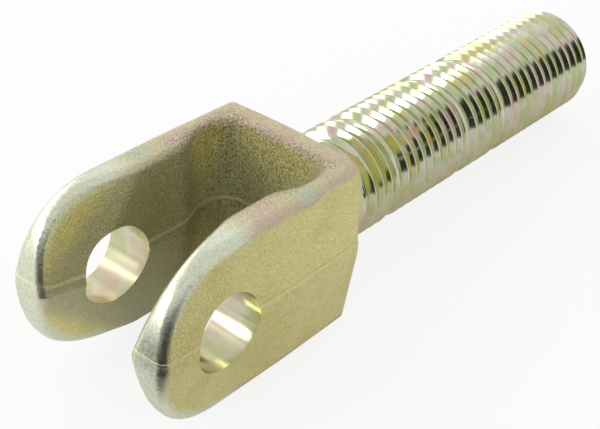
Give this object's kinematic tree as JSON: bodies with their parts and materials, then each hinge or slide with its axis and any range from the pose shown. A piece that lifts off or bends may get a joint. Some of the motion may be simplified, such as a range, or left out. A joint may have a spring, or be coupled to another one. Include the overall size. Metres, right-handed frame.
{
  "type": "clevis rod end",
  "caption": "Forged clevis rod end with a drafted fork for a cross pin and an externally threaded shank behind a turned neck.",
  "frame": {"origin": "where the pin axis crosses the shank axis, midway between the ears", "axes": "+X along the shank to its threaded end, +Y along the pin axis, +Z out of the open side of the fork, square to the parting plane"},
  "size_m": [0.191, 0.0488, 0.046],
  "materials": {
    "zinc_plated_steel": "yellow chromated zinc plate on forged steel, matte on the forged faces and glossy on the machined ones"
  },
  "bodies": {
    "root": {"clevis_rod_end": "zinc_plated_steel"}
  },
  "joints": []
}
